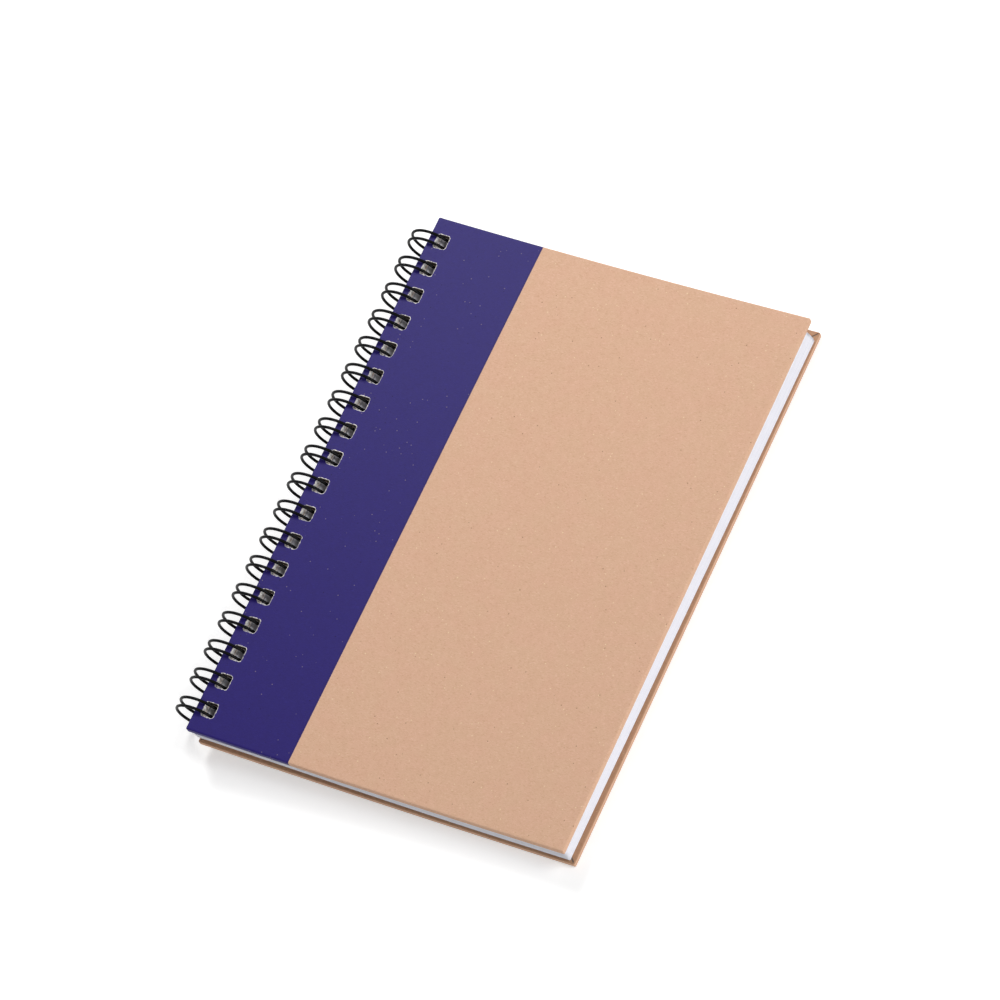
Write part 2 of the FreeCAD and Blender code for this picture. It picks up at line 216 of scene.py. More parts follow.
def boundary(across, along, turnSteps=0):
    # base points round the rectangle of the lines, against the clock, and the way out at each;
    # at a corner the way out turns in steps, or points both ways where there are none
    sides = [
        (across[1:-1], np.full(len(across) - 2, along[0]), (0, -1)),
        (np.full(len(along) - 2, across[-1]), along[1:-1], (1, 0)),
        (across[-2:0:-1], np.full(len(across) - 2, along[-1]), (0, 1)),
        (np.full(len(along) - 2, across[0]), along[-2:0:-1], (-1, 0)),
    ]
    corners = [(across[-1], along[0]), (across[-1], along[-1]), (across[0], along[-1]), (across[0], along[0])]
    bases, outs = [], []
    for side, ((u, y, out), corner) in enumerate(zip(sides, corners)):
        bases.append(np.stack([u, y], 1))
        outs.append(np.tile(np.array(out, float), (len(u), 1)))
        if turnSteps:
            turn = np.radians(-90 + 90 * side + 90 * np.arange(turnSteps + 1) / turnSteps)
            outs.append(np.stack([np.cos(turn), np.sin(turn)], 1))
        else:
            outs.append(np.array([out], float) + np.array([sides[(side + 1) % 4][2]], float))
        bases.append(np.tile(np.array(corner, float), (len(outs[-1]), 1)))
    return np.concatenate(bases), np.concatenate(outs)


# Covers: kraft wrap folded round a grey board, with mitred flaps, and a lining over the flaps
cover = {
    "width": 110.0, "length": 157.5, "wrap": 0.2, "board": 1.5, "lining": 0.2,
    "turnIn": 14.0, "liningMargin": 3.0, "mitreGap": 0.283,
    "fold": 0.35,           # radius of the paper where it is folded round the board's edges
    "foldSteps": 5, "sharpAngle": 35,
    "frontOuter": 5.3, "backOuter": -3.6, "frontEdge": 0.5, "backEdge": 1.7,
    "dip": 2.0,             # width of the lining's slope down from the flaps to the board
}
boxed = 2 * cover["wrap"] + cover["board"]      # outer face to the flaps' face
halfLength = cover["length"] / 2
# lines along the spine, close together at the holes and on both sides of the lining's slopes
coverAcross = np.concatenate([
    [cover["fold"], cover["fold"] + cover["mitreGap"]],
    np.linspace(hole["cellNear"], hole["cellFar"], cellSteps + 1),
    [9, 11.5, 14, 14.5, 15, 15.5, 16], np.arange(20, 94, 4),
    [94, 94.5, 95, 95.5, 96, 99, 102, 105, 107, 108.4],
    [cover["width"] - cover["fold"] - cover["mitreGap"], cover["width"] - cover["fold"]],
])


def roundedEdge(radius, height, inset=0.0):
    # section of an edge as (out, down) pairs: quarter arc, straight side, quarter arc back
    turn = np.radians(np.linspace(0, 90, cover["foldSteps"] + 1))
    upper = np.stack([radius * np.sin(turn), inset + radius * (1 - np.cos(turn))], 1)
    lower = np.stack([upper[::-1, 0], height - inset - radius * (1 - np.cos(turn[::-1]))], 1)
    return np.concatenate([upper, lower])


def edgeStrip(across, along, section):
    # the section carried round the outline: each point is its base moved out, at the section's depth
    base, out = boundary(across, along, cover["foldSteps"])
    flat = base[:, None] + out[:, None] * section[None, :, :1]
    depth = np.broadcast_to(section[None, :, 1], flat.shape[:2])
    points = np.concatenate([flat, depth[..., None]], -1)
    count, rows = flat.shape[:2]
    closed = np.concatenate([points, points[:1]])
    return closed.reshape(-1, 3), gridQuads(count + 1, rows)[:, [0, 3, 2, 1]]


def atDepth(flat, depth):
    return np.concatenate([flat, np.broadcast_to(depth, (len(flat), 1))], 1)


def wrapPatches():
    # flat face, edges folded round the board, and flaps: the same grid at the far depth, with its
    # lines clipped to the mitres, where a point's y is at most half the length less its x
    mitre = halfLength - cover["fold"] - cover["mitreGap"]
    edge = halfLength - cover["fold"]
    along, firstCell = alongLines(-edge, edge, (-mitre, mitre))
    flat, quads, _ = punchedGrid(coverAcross, along, firstCell)
    patches = [(atDepth(flat, 0.0), quads)]
    strip, stripQuads = edgeStrip(coverAcross, along, roundedEdge(cover["fold"], boxed))
    patches.append((strip, stripQuads))

    flapAcross = coverAcross[coverAcross <= cover["turnIn"] + sameLine]
    flat, quads, _ = punchedGrid(flapAcross, along, firstCell)
    limit = halfLength - cover["mitreGap"] - flat[:, 0]
    flat[:, 1] = np.clip(flat[:, 1], -limit, limit)
    patches.append((atDepth(flat, boxed), quads[:, ::-1]))
    inset = np.array([cover["fold"], 1.5, 3.0, 6.0, 10.0, cover["turnIn"]])
    d, y = np.meshgrid(inset, along, indexing="ij")
    flapY = np.clip(y, d + cover["mitreGap"] - halfLength, halfLength - cover["mitreGap"] - d)
    fore = np.stack([cover["width"] - d, flapY, np.full_like(d, boxed)], -1).reshape(-1, 3)
    patches.append((fore, gridQuads(*d.shape)))
    d, u = np.meshgrid(inset, coverAcross, indexing="ij")
    flapU = np.clip(u, d + cover["mitreGap"], cover["width"] - cover["mitreGap"] - d)
    for sign in (-1, 1):
        flap = np.stack([flapU, sign * (halfLength - d), np.full_like(d, boxed)], -1).reshape(-1, 3)
        order = [0, 1, 2, 3] if sign < 0 else [3, 2, 1, 0]
        patches.append((flap, gridQuads(*d.shape)[:, order]))
    return stackPatches(patches)


def boardPatches():
    # two flat faces, the rounded edge between them and the holes' walls
    edge = halfLength - cover["fold"]
    along, firstCell = alongLines(-edge, edge)
    flat, quads, holeEdge = punchedGrid(coverAcross, along, firstCell)
    top, bottom = cover["wrap"], cover["wrap"] + cover["board"]
    patches = [(atDepth(flat, top), quads), (atDepth(flat, bottom), quads[:, ::-1])]
    section = roundedEdge(cover["fold"] - cover["wrap"], boxed, cover["wrap"])
    patches.append(edgeStrip(coverAcross, along, section))
    edges, depth, wallQuads = holeBands(flat, holeEdge, [top, (top + bottom) / 2, bottom])
    patches.append((atDepth(edges, depth[:, None]), wallQuads))
    return stackPatches(patches)


def liningPatches():
    # one sheet that lies on the flaps, and steps down to the board inside them
    margin = cover["liningMargin"]
    across = coverAcross[(coverAcross > 0.8) & (coverAcross < cover["width"] - margin + 0.1)]
    along, firstCell = alongLines(margin - halfLength, halfLength - margin)
    flat, quads, _ = punchedGrid(across, along, firstCell)
    inside = np.minimum.reduce([flat[:, 0], cover["width"] - flat[:, 0], halfLength - abs(flat[:, 1])])
    slope = np.clip((inside - cover["turnIn"]) / cover["dip"], 0, 1)
    slope = slope * slope * (3 - 2 * slope)
    depth = boxed + cover["lining"] - cover["wrap"] * slope
    return atDepth(flat, depth[:, None]), quads[:, ::-1]


def addCover(side, outer, edge, inward):
    made = []
    layers = (("Wrap", wrapPatches, "kraft_wrap", cover["wrap"]),
              ("Board", boardPatches, "grey_board", 0.0),
              ("Lining", liningPatches, "kraft_lining", cover["lining"]))
    for layer, patches, slotName, thickness in layers:
        points, quads = patches()
        points = np.stack([points[:, 0] + edge, points[:, 1], outer + inward * points[:, 2]], 1)
        if inward > 0:      # the back cover is the mirror image, so its faces are turned round
            quads = quads[:, ::-1]
        node = f"{side}_{layer.lower()}"
        piece, _ = addObject(f"{side}{layer}", sink(points), quads, f"{side}_cover", node)
        if thickness:
            paper = piece.modifiers.new("paperThickness", "SOLIDIFY")
            paper.thickness = thickness / metre
            paper.offset = -1
        finishMesh(piece, cover["sharpAngle"])
        made.append(piece)
    print(side, "cover made")
    return made


frontWrap, frontBoard, frontLining = addCover("front", cover["frontOuter"], cover["frontEdge"], -1)
backWrap, backBoard, backLining = addCover("back", cover["backOuter"], cover["backEdge"], 1)

# Page block: about fifty sheets, hung on the loops so that their edges follow the loops' curve
pages = {
    "width": 108.7, "tail": -78.1, "head": 75.9, "slide": -4.6,
    "swell": 1.3, "swellWidth": 5.5, "swellRamp": 80.0,
    "sheets": 50, "shaftLevels": 9,
    "skew": 0.9,            # how far the lowest sheet's head has slid towards the fore edge
    "jitter": 0.05,         # how unevenly the sheets' edges lie
    "groove": 0.035,        # depth of the groove between two sheets
    "seed": 7,
}


def pagePoint(u, y, share):
    # share 0 is the lowest sheet and 1 the top one. The lowest is lifted over the seam wire and
    # slopes down by half a cosine wave; x follows the loops' circle at that height
    ramp = np.clip((u - pages["swellWidth"]) / pages["swellRamp"], 0, 1)
    low = binding["stackLow"] + pages["swell"] * (1 + np.cos(np.pi * ramp)) / 2
    z = low + share * (binding["stackTop"] - low)
    skew = pages["skew"] * (1 - share) * (y - pages["tail"]) / (pages["head"] - pages["tail"])
    x = np.sqrt(binding["radius"] ** 2 - z ** 2) + pages["slide"] + skew + u
    return np.stack([x, y, z], -1)


def pagePatches():
    # top and bottom sheet, a rim that follows every sheet's edge, and the shafts of the holes
    across = np.concatenate([
        [0, 0.4], np.linspace(hole["cellNear"], hole["cellFar"], cellSteps + 1),
        np.arange(8, 14.1, 1), [17], np.arange(21, 104, 4), [106, 107.7, pages["width"]]])
    along, firstCell = alongLines(pages["tail"], pages["head"])
    flat, quads, holeEdge = punchedGrid(across, along, firstCell)
    patches = [(pagePoint(flat[:, 0], flat[:, 1], np.ones(len(flat))), quads),
               (pagePoint(flat[:, 0], flat[:, 1], np.zeros(len(flat))), quads[:, ::-1])]
    leaves = [np.full(len(flat), float(pages["sheets"])), np.zeros(len(flat))]

    # rim: each sheet's edge stands out a little more or less, with a groove between two sheets
    random = np.random.default_rng(pages["seed"])
    sheets = pages["sheets"]
    leaf = (np.arange(sheets)[:, None] + np.array([0.0, 0.15, 0.85])).ravel()
    leaf = np.append(leaf, sheets)
    stand = random.normal(0, pages["jitter"], (sheets, 4))
    stand = np.repeat(stand, 3, 0)
    stand[::3] -= pages["groove"]
    stand = np.concatenate([stand, np.zeros((1, 4))])
    stand[0] = 0
    base, way = boundary(across, along)
    # an offset for each of the four sides, picked by the way out at each base point
    moveU = way[:, :1] * np.where(way[:, :1] > 0, stand[None, :, 0], stand[None, :, 1])
    moveY = way[:, 1:] * np.where(way[:, 1:] > 0, stand[None, :, 2], stand[None, :, 3])
    u = base[:, :1] + moveU
    y = base[:, 1:] + moveY
    share = np.broadcast_to(leaf / sheets, u.shape)
    rim = pagePoint(u, y, share)
    rim = np.concatenate([rim, rim[:1]])
    patches.append((rim.reshape(-1, 3), gridQuads(rim.shape[0], rim.shape[1])))
    leaves.append(np.tile(leaf, rim.shape[0]))

    edges, share, shaftQuads = holeBands(flat, holeEdge, np.linspace(1, 0, pages["shaftLevels"]))
    patches.append((pagePoint(edges[:, 0], edges[:, 1], share), shaftQuads))
    leaves.append(share * sheets)
    points, quads = stackPatches(patches)
    return points, quads, np.concatenate(leaves)


points, quads, leaves = pagePatches()
pageBlock, kept = addObject("pageBlock", sink(points), quads, "binding", "page_block")
leafNumber = pageBlock.data.attributes.new("leaf", "FLOAT", "POINT")
leafNumber.data.foreach_set("value", leaves[kept].astype(np.float32))
print("page block made,", len(pageBlock.data.polygons), "faces")

# Wire: one round wire bent into eighteen double loops, with closed tips beside the seam
wire = {
    "diameter": 0.8, "legs": 2.5, "bend": 1.0, "tipGap": 0.1, "tail": 5.3, "seamHeight": -1.0,
    "sides": 14, "bendSteps": 6, "legSteps": 60, "tipSteps": 8, "sharpAngle": 50,
    "endRound": 0.12,       # radius of the burr-free edge at the two cut ends
}


def wirePath():
    # half a loop: quarter turn out of the seam, round the loops' circle, half the closed tip. Each
    # point is (radius cos a - along sin a, side, radius sin a + along cos a); the outward vector
    # (cos a, 0, sin a) goes with it, for the section
    radius, half, bend = binding["radius"], wire["legs"] / 2, wire["bend"]
    seamAngle = math.asin(wire["seamHeight"] / math.hypot(radius, bend))
    footAngle = seamAngle - math.atan2(bend, radius)
    tipAngle = seamAngle + (half + wire["tipGap"]) / radius - 2 * math.pi
    bendTurn = np.linspace(np.pi / 2, 0, wire["bendSteps"] + 1)
    legAngle = np.linspace(footAngle, tipAngle, wire["legSteps"] + 1)[1:-1]
    tipTurn = np.linspace(0, np.pi / 2, wire["tipSteps"] + 1)
    angle = np.concatenate([np.full(len(bendTurn), footAngle), legAngle, np.full(len(tipTurn), tipAngle)])
    along = np.concatenate([bend * np.sin(bendTurn), 0 * legAngle, -half * np.sin(tipTurn)])
    side = np.concatenate([-half - bend + bend * np.cos(bendTurn), np.full(len(legAngle), -half),
                           -half * np.cos(tipTurn)])
    outward = np.stack([np.cos(angle), 0 * angle, np.sin(angle)], 1)
    forward = np.stack([-np.sin(angle), 0 * angle, np.cos(angle)], 1)
    path = radius * outward + along[:, None] * forward
    path[:, 1] = side
    mirror = np.array([1, -1, 1])
    path = np.concatenate([path, path[-2::-1] * mirror])
    outward = np.concatenate([outward, outward[-2::-1]])
    shift = np.stack([0 * loopPlaces, loopPlaces, 0 * loopPlaces], 1)
    path = (path[None] + shift[:, None]).reshape(-1, 3)
    outward = np.tile(outward, (binding["loops"], 1))
    return path, outward


def wirePatches():
    # a circle carried along the path: each point is the path's, moved by the radius times
    # outward cos a + sideways sin a
    path, outward = wirePath()
    tailRun = wire["tail"] - wire["legs"] / 2 - wire["bend"]
    # the cut ends: rings that draw in over a small quarter circle, then close
    turn = np.radians([90, 60, 30, 0])
    radius = wire["diameter"] / 2
    drawn = np.append(0, radius - wire["endRound"] * (1 - np.cos(turn[::-1])[::-1]))
    reach = np.append(0, wire["endRound"] * (1 - np.sin(turn)))
    firstEnd = path[0] - np.array([0, 1, 0]) * (tailRun - reach[:, None])
    lastEnd = (path[-1] + np.array([0, 1, 0]) * (tailRun - reach[:, None]))[::-1]
    rings = np.concatenate([firstEnd, path, lastEnd])
    radii = np.concatenate([drawn, np.full(len(path), radius), drawn[::-1]])
    copies = (len(drawn), 1)
    outward = np.concatenate([np.tile(outward[:1], copies), outward, np.tile(outward[-1:], copies)])
    tangent = np.gradient(rings, axis=0)
    tangent[:len(drawn)] = tangent[-len(drawn):] = (0, 1, 0)
    tangent /= np.linalg.norm(tangent, axis=1)[:, None]
    outward -= (outward * tangent).sum(1)[:, None] * tangent
    outward /= np.linalg.norm(outward, axis=1)[:, None]
    sideways = np.cross(tangent, outward)
    around = np.linspace(0, 2 * np.pi, wire["sides"], endpoint=False)[None, :, None]
    section = np.cos(around) * outward[:, None] + np.sin(around) * sideways[:, None]
    points = rings[:, None] + radii[:, None, None] * section
    return points.reshape(-1, 3), gridQuads(len(rings), wire["sides"], closed=True)[:, ::-1]


points, quads = wirePatches()
wireLoops, _ = addObject("wireLoops", points, quads, "binding", "twin_loop_wire")
finishMesh(wireLoops, wire["sharpAngle"])
print("wire made,", len(wireLoops.data.polygons), "faces")


# Materials
def srgb(red, green, blue):
    # a colour as a screen shows it, 0 to 255, as the linear values that shaders use
    values = np.array([red, green, blue]) / 255
    linear = np.where(values <= 0.04045, values / 12.92, ((values + 0.055) / 1.055) ** 2.4)
    return (*linear.tolist(), 1.0)


def addNode(tree, kind, settings=None, **sockets):
    # a node with its settings, and each named socket set to a value or joined to another's output;
    # a name such as i6 means the socket of that number
    node = tree.nodes.new(kind)
    for name, value in (settings or {}).items():
        setattr(node, name, value)
    for name, value in sockets.items():
        numbered = name[1:].isdigit()
        socket = node.inputs[int(name[1:])] if numbered else node.inputs[name.replace("_", " ")]
        if isinstance(value, bpy.types.NodeSocket):
            tree.links.new(value, socket)
        else:
            socket.default_value = value
    return node


def calculate(tree, operation, *values, clamp=False):
    sockets = {f"i{index}": value for index, value in enumerate(values)}
    settings = {"operation": operation, "use_clamp": clamp}
    return addNode(tree, "ShaderNodeMath", settings, **sockets).outputs[0]


def blendColour(tree, share, first, second, mode="MIX"):
    # sockets 0, 6 and 7 of a colour Mix node are its factor and its two colours
    settings = {"data_type": "RGBA", "blend_type": mode}
    return addNode(tree, "ShaderNodeMix", settings, i0=share, i6=first, i7=second).outputs[2]


def ramp(tree, value, low, high):
    # 0 below low and 1 above high, smooth between
    settings = {"interpolation_type": "SMOOTHSTEP"}
    return addNode(tree, "ShaderNodeMapRange", settings, Value=value, From_Min=low, From_Max=high).outputs[0]


def fall(tree, value, low, high):
    # 1 below low and 0 above high, smooth between
    return calculate(tree, "SUBTRACT", 1.0, ramp(tree, value, low, high))


def spread(tree, value, size):
    # a value from 0 to 1 as one from minus half the size to plus half of it
    return calculate(tree, "MULTIPLY_ADD", value, size, -size / 2)


def split(tree, vector):
    return addNode(tree, "ShaderNodeSeparateXYZ", None, Vector=vector).outputs


def noise(tree, place, scale, detail=2.0, roughness=0.5, distortion=0.0):
    return addNode(tree, "ShaderNodeTexNoise", None, Vector=place, Scale=scale, Detail=detail,
                   Roughness=roughness, Distortion=distortion).outputs[0]


def newGroup(name, inputs, outputs):
    group = bpy.data.node_groups.new(name, "ShaderNodeTree")
    for title, kind, value in inputs:
        socket = group.interface.new_socket(title, in_out="INPUT", socket_type=kind)
        if value is not None:
            socket.default_value = value
    for title, kind in outputs:
        group.interface.new_socket(title, in_out="OUTPUT", socket_type=kind)
    return group, group.nodes.new("NodeGroupInput").outputs, group.nodes.new("NodeGroupOutput").inputs


def useGroup(tree, group, **sockets):
    return addNode(tree, "ShaderNodeGroup", {"node_tree": group}, **sockets).outputs


def newMaterial(name):
    material = bpy.data.materials.new(name)
    material.use_nodes = True
    tree = material.node_tree
    # object coordinates brought back into the loops' frame, in millimetres
    position = addNode(tree, "ShaderNodeTexCoord").outputs["Object"]
    turned = Matrix.Rotation(-tilt, 3, "Y") @ Vector(axisPlace * metre)
    place = addNode(tree, "ShaderNodeMapping", None, Vector=position, Location=-turned,
                    Rotation=(0, -tilt, 0), Scale=(metre,) * 3).outputs[0]
    return material, tree, tree.nodes["Principled BSDF"], place


def finishShader(tree, shader, colour, height, looks):
    # every material ends with its colour, a bump of a strength and a depth in millimetres, and
    # a roughness and a specular level
    strength, depth = looks["bump"]
    bump = addNode(tree, "ShaderNodeBump", None, Height=height, Strength=strength, Distance=depth / metre)
    tree.links.new(colour, shader.inputs["Base Color"])
    tree.links.new(bump.outputs[0], shader.inputs["Normal"])
    shader.inputs["Roughness"].default_value = looks["roughness"]
    shader.inputs["Specular IOR Level"].default_value = looks["specular"]


def giveMaterial(material, *pieces):
    for piece in pieces:
        piece.data.materials.clear()
        piece.data.materials.append(material)


# Recycled kraft: soft pinkish and greenish patches, short pale and dark fibres, a few specks
recycled = {
    "patchScale": 0.16, "patchTints": ((0.996, 1.005, 0.985, 1), (1.006, 0.992, 0.99, 1)),
    "cloudScale": 0.55, "cloudTints": ((0.985, 0.975, 0.965, 1), (1.015, 1.022, 1.03, 1)),
    "fibres": (
        # turn in degrees, stretch, scale, level from which they show, tint
        (20, (1.0, 3.2, 1.0), 1.5, 0.60, (1.06, 1.09, 1.12, 1)),
        (-48, (1.1, 2.8, 1.0), 1.2, 0.60, (1.05, 1.08, 1.11, 1)),
        (75, (1.0, 3.0, 1.0), 1.6, 0.61, (0.92, 0.88, 0.85, 1)),
        (-12, (1.2, 3.4, 1.0), 1.1, 0.61, (0.93, 0.89, 0.87, 1)),
    ),
    "fibreEdge": 0.05,
    "cloudHeight": 0.3, "fibreHeight": 0.35,
    "fleckScale": 0.7, "fleckEdge": (0.07, 0.15),
    "paleAbove": 0.75,      # so a cell in four holds a pale fleck
    "darkBelow": 0.11,      # and one in nine a dark speck
    "paleFleck": srgb(240, 218, 180), "darkTint": (0.55, 0.46, 0.42, 1),
}


def buildKraftGroup():
    tree, given, out = newGroup(
        "recycledKraft",
        [("Place", "NodeSocketVector", None), ("Paper", "NodeSocketColor", (0.5, 0.4, 0.3, 1)),
         ("Patches", "NodeSocketFloat", 1.0), ("Fibres", "NodeSocketFloat", 1.0),
         ("Flecks", "NodeSocketFloat", 0.8)],
        [("Color", "NodeSocketColor"), ("Height", "NodeSocketFloat")])
    place, colour = given["Place"], given["Paper"]
    patch = ramp(tree, noise(tree, place, recycled["patchScale"], 3.0), 0.36, 0.64)
    cloud = ramp(tree, noise(tree, place, recycled["cloudScale"], 4.0, 0.6), 0.3, 0.7)
    for mask, tints in ((patch, recycled["patchTints"]), (cloud, recycled["cloudTints"])):
        colour = blendColour(tree, given["Patches"], colour, blendColour(tree, mask, *tints), "MULTIPLY")
    height = calculate(tree, "MULTIPLY", cloud, recycled["cloudHeight"])
    for angle, stretch, scale, level, tint in recycled["fibres"]:
        turned = addNode(tree, "ShaderNodeMapping", None, Vector=place, Scale=stretch,
                         Rotation=(0, 0, math.radians(angle)), Location=(angle, angle * 0.7, 0)).outputs[0]
        mask = ramp(tree, noise(tree, turned, scale, 1.5, 0.55, 0.6), level, level + recycled["fibreEdge"])
        mask = calculate(tree, "MULTIPLY", mask, given["Fibres"])
        colour = blendColour(tree, mask, colour, tint, "MULTIPLY")
        height = calculate(tree, "MULTIPLY_ADD", mask, recycled["fibreHeight"], height)
    cells = addNode(tree, "ShaderNodeTexVoronoi", None, Vector=place, Scale=recycled["fleckScale"]).outputs
    picked = addNode(tree, "ShaderNodeSeparateColor", None, Color=cells["Color"]).outputs[0]
    near = fall(tree, cells["Distance"], *recycled["fleckEdge"])
    pale = calculate(tree, "MULTIPLY", near, calculate(tree, "GREATER_THAN", picked, recycled["paleAbove"]))
    pale = calculate(tree, "MULTIPLY", pale, given["Flecks"])
    colour = blendColour(tree, pale, colour, recycled["paleFleck"])
    dark = calculate(tree, "MULTIPLY", near, calculate(tree, "LESS_THAN", picked, recycled["darkBelow"]))
    dark = calculate(tree, "MULTIPLY", dark, given["Fibres"])
    colour = blendColour(tree, dark, colour, recycled["darkTint"], "MULTIPLY")
    tree.links.new(colour, out["Color"])
    tree.links.new(height, out["Height"])
    return tree


# Distance from the nearest punched hole's edge, in millimetres, below zero inside the hole: a
# rounded rectangle's distance, with y folded to one pitch
def buildHoleGroup():
    tree, given, out = newGroup(
        "punchedHoles", [("Place", "NodeSocketVector", None), ("Centre", "NodeSocketFloat", 4.4)],
        [("Distance", "NodeSocketFloat")])
    axes = split(tree, given["Place"])
    halfPitch = binding["pitch"] / 2
    across = calculate(tree, "ABSOLUTE", calculate(tree, "SUBTRACT", axes["X"], given["Centre"]))
    # an even number of loops, so the middle of the spine lies between two of them
    folded = calculate(tree, "PINGPONG", axes["Y"], halfPitch)
    along = calculate(tree, "ABSOLUTE", calculate(tree, "SUBTRACT", folded, halfPitch))
    across = calculate(tree, "SUBTRACT", across, hole["across"] / 2 - hole["corner"])
    along = calculate(tree, "SUBTRACT", along, hole["along"] / 2 - hole["corner"])
    past = [calculate(tree, "MAXIMUM", side, 0.0) for side in (across, along)]
    squares = [calculate(tree, "POWER", side, 2.0) for side in past]
    outside = calculate(tree, "SQRT", calculate(tree, "ADD", *squares))
    inside = calculate(tree, "MINIMUM", calculate(tree, "MAXIMUM", across, along), 0.0)
    distance = calculate(tree, "SUBTRACT", calculate(tree, "ADD", outside, inside), hole["corner"])
    # past the last loop the fold goes on, so there the distance is made large
    fromMiddle = calculate(tree, "ABSOLUTE", axes["Y"])
    pastLoops = calculate(tree, "GREATER_THAN", fromMiddle, binding["loops"] * halfPitch)
    distance = calculate(tree, "MULTIPLY_ADD", pastLoops, hole["far"], distance)
    tree.links.new(distance, out["Distance"])
    return tree


kraftGroup, holeGroup = buildKraftGroup(), buildHoleGroup()
kraft = {
    "paper": srgb(219, 178, 151),
    "paintedFlapShade": (0.66, 0.60, 0.53, 1),      # painted shade: darkens the flaps, standing in for the page block's shade on the margin beside it
    "flapDepth": (0.35, 0.2),               # the painted shade comes in this far above the flaps' face
    "rim": srgb(250, 244, 238), "rimWidth": (0.01, 0.17), "rimFray": 0.7,
    "roughness": 0.86, "specular": 0.1, "bump": (0.35, 0.03),
}
band = {
    "ink": srgb(42, 32, 107), "patches": 0.9, "flecks": 0.14, "roughness": 0.42,
    "width": 30.85,
    "slant": 0.0068,        # the print's edge isn't quite parallel to the spine
    "ragged": 0.12, "edge": (-0.04, 0.04),
    "line": srgb(38, 30, 84), "lineShare": 0.45, "lineInset": 0.22, "lineEdge": (0.1, 0.3),
}


def printBand(tree, place, axes, edge, colour):
    # ink up to a slanted and slightly ragged edge, with a darker line just inside it
    ink = useGroup(tree, kraftGroup, Place=place, Paper=band["ink"], Patches=band["patches"],
                   Flecks=band["flecks"])["Color"]
    slanted = calculate(tree, "MULTIPLY_ADD", axes["Y"], -band["slant"], axes["X"])
    fromEdge = calculate(tree, "SUBTRACT", slanted, edge + band["width"])
    fromEdge = calculate(tree, "ADD", fromEdge, spread(tree, noise(tree, place, 2.5, 3.0), band["ragged"]))
    fromLine = calculate(tree, "ABSOLUTE", calculate(tree, "ADD", fromEdge, band["lineInset"]))
    line = calculate(tree, "MULTIPLY", fall(tree, fromLine, *band["lineEdge"]), band["lineShare"])
    printed = fall(tree, fromEdge, *band["edge"])
    return blendColour(tree, printed, colour, blendColour(tree, line, ink, band["line"])), printed


def makeKraft(name, outer, edge, inward, dish, hasBand):
    material, tree, shader, place = newMaterial(name)
    paper = useGroup(tree, kraftGroup, Place=place, Paper=kraft["paper"])
    axes = split(tree, place)
    # depth below the cover's outer face, with the dish taken out as in sink()
    reach = calculate(tree, "SUBTRACT", axes["X"], binding["dishMiddle"])
    reach = calculate(tree, "DIVIDE", reach, binding["dishHalf"])
    sunk = calculate(tree, "SUBTRACT", 1.0, calculate(tree, "MULTIPLY", reach, reach), clamp=True)
    flat = calculate(tree, "MULTIPLY_ADD", sunk, dish, axes["Z"])
    depth = calculate(tree, "MULTIPLY", calculate(tree, "SUBTRACT", flat, outer), inward)
    # painted shade on the flaps' faces, for the shade that the page block casts on the cover's margin beside
    # it
    onFlap = ramp(tree, depth, *[boxed - above for above in kraft["flapDepth"]])
    colour = blendColour(tree, onFlap, paper["Color"], kraft["paintedFlapShade"], "MULTIPLY")
    if hasBand:
        colour, printed = printBand(tree, place, axes, edge, colour)
    # torn white paper fibres round the holes
    distance = useGroup(tree, holeGroup, Place=place, Centre=edge + hole["margin"] + hole["across"] / 2)[0]
    frayed = spread(tree, noise(tree, place, 1.6, 4.0, 0.65), kraft["rimFray"])
    rim = fall(tree, calculate(tree, "ADD", distance, frayed), *kraft["rimWidth"])
    colour = blendColour(tree, rim, colour, kraft["rim"])
    finishShader(tree, shader, colour, paper["Height"], kraft)
    if hasBand:
        smoother = band["roughness"] - kraft["roughness"]
        roughness = calculate(tree, "MULTIPLY_ADD", printed, smoother, kraft["roughness"])
        tree.links.new(roughness, shader.inputs["Roughness"])
    return material


lining = {
    "paper": srgb(206, 170, 138), "fibres": 0.7, "roughness": 0.9, "specular": 0.2, "bump": (0.3, 0.03),
}


def makeLining():
    material, tree, shader, place = newMaterial("kraftLining")
    paper = useGroup(tree, kraftGroup, Place=place, Paper=lining["paper"], Fibres=lining["fibres"])
    finishShader(tree, shader, paper["Color"], paper["Height"], lining)
    return material


greyBoard = {
    "layers": (srgb(104, 96, 88), srgb(140, 132, 122)),
    "grains": (srgb(92, 86, 80), srgb(160, 154, 146)), "grainShare": 0.3,
    # painted light: each hole's wall on the spine's side is painted pale, for light from the fore-edge side
    "holeWall": srgb(104, 96, 88), "paintedLitSpineWall": srgb(250, 248, 245),
    "wallEdge": (0.02, 0.1),        # the walls' colours end this far outside the hole
    "spineWallReach": 0.3,
    "roughness": 0.95, "specular": 0.15, "bump": (0.5, 0.05),
}


def makeBoard(name, edge):
    material, tree, shader, place = newMaterial(name)
    # pressed layers show on the cut faces: noise drawn out along the sheet
    layered = addNode(tree, "ShaderNodeMapping", None, Vector=place, Scale=(0.5, 0.5, 7.0)).outputs[0]
    layers = ramp(tree, noise(tree, layered, 1.2, 4.0, 0.6), 0.3, 0.7)
    grain = blendColour(tree, noise(tree, place, 3.0, 3.0, 0.6), *greyBoard["grains"])
    colour = blendColour(tree, layers, *greyBoard["layers"])
    colour = blendColour(tree, greyBoard["grainShare"], colour, grain)
    # the holes' walls are raw board; the wall on the spine's side is painted pale, painted light for the
    # light from the fore-edge side falling on it
    start = edge + hole["margin"]
    distance = useGroup(tree, holeGroup, Place=place, Centre=start + hole["across"] / 2)[0]
    onSpineSide = calculate(tree, "LESS_THAN", split(tree, place)["X"], start + greyBoard["spineWallReach"])
    wall = blendColour(tree, onSpineSide, greyBoard["holeWall"], greyBoard["paintedLitSpineWall"])
    colour = blendColour(tree, fall(tree, distance, *greyBoard["wallEdge"]), colour, wall)
    finishShader(tree, shader, colour, layers, greyBoard)
    return material


